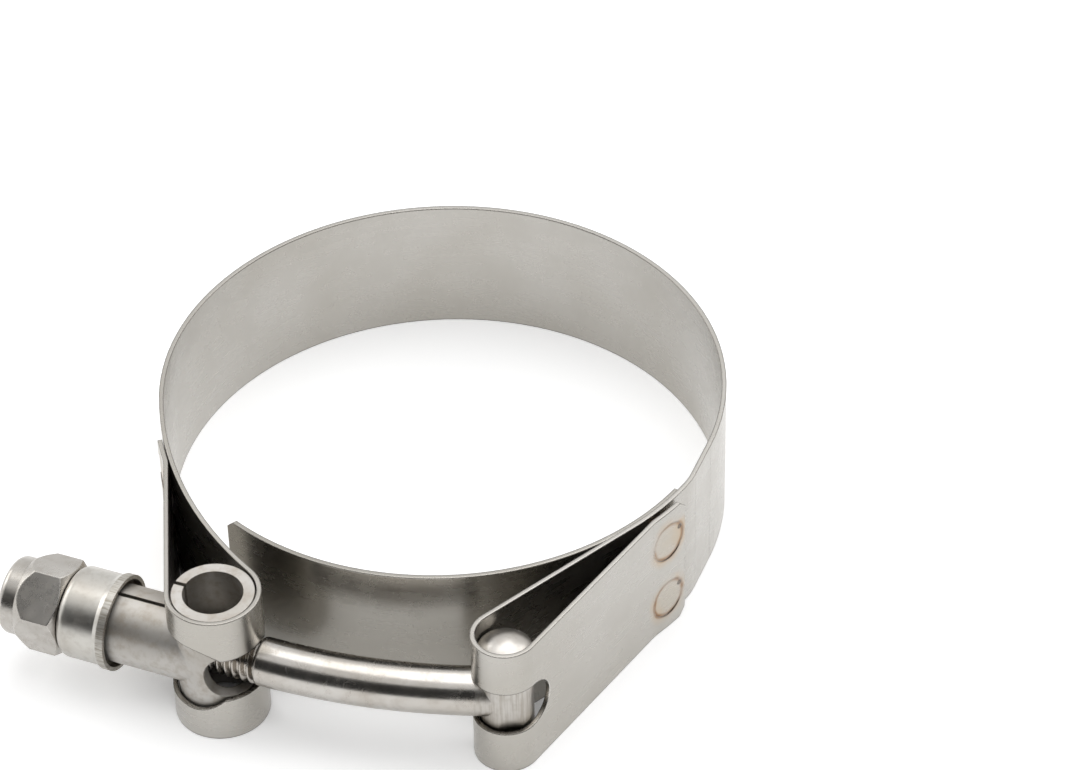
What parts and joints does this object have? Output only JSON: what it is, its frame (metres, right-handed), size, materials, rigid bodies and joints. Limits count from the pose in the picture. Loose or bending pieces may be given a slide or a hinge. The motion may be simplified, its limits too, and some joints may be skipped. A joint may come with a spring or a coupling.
{
  "type": "t bolt clamp",
  "caption": "Stainless T bolt hose clamp: a spot-welded band with looped ends, a bridging liner, a curved T bolt through a folded trunnion, a cup washer and a lock nut.",
  "frame": {"origin": "centre of the bore, halfway across the band", "axes": "+Z along the bore; the gap of the ring faces -Y, with the nut at -X and the T head at +X"},
  "size_m": [0.0811, 0.0839, 0.019],
  "materials": {
    "band_steel": "satin rolled strip",
    "liner_steel": "satin rolled strip",
    "bolt_steel": "polished, forged",
    "trunnion_steel": "pressed, lightly scratched",
    "cup_steel": "bright drawn",
    "nut_steel": "bright, scuffed flats",
    "nylon": "moulded"
  },
  "bodies": {
    "band": {"band": "band_steel", "liner": "liner_steel"},
    "bolt": {"t_bolt": "bolt_steel"},
    "trunnion": {"trunnion": "trunnion_steel"},
    "cup": {"cup": "cup_steel"},
    "nut": {"lock_nut": "nut_steel", "nylon_insert": "nylon"}
  },
  "joints": [
    {"name": "bolt_swing", "type": "hinge", "parent": "band", "child": "bolt", "pos_m": [0.01775, -0.0425, 0], "axis": [0, 0, 1], "range_deg": [-0.4, 0.4]},
    {"name": "trunnion_turn", "type": "hinge", "parent": "band", "child": "trunnion", "pos_m": [-0.01775, -0.0425, 0], "axis": [0, 0, 1], "range_deg": [-0.4, 0.4]},
    {"name": "cup_slide", "type": "slide", "parent": "bolt", "child": "cup", "axis": [-0.9877, 0.1564, 0], "range_m": [0, 0.0076]},
    {"name": "nut_spin", "type": "hinge", "parent": "cup", "child": "nut", "pos_m": [-0.01775, -0.0425, 0], "axis": [-0.9877, 0.1564, 0], "range_deg": [0, 2700]}
  ],
  "couplings": [
    {"joint": "trunnion_turn", "follows": "bolt_swing", "ratio": 1},
    {"joint": "cup_slide", "follows": "nut_spin", "m_per_rad": 0.00015915}
  ]
}
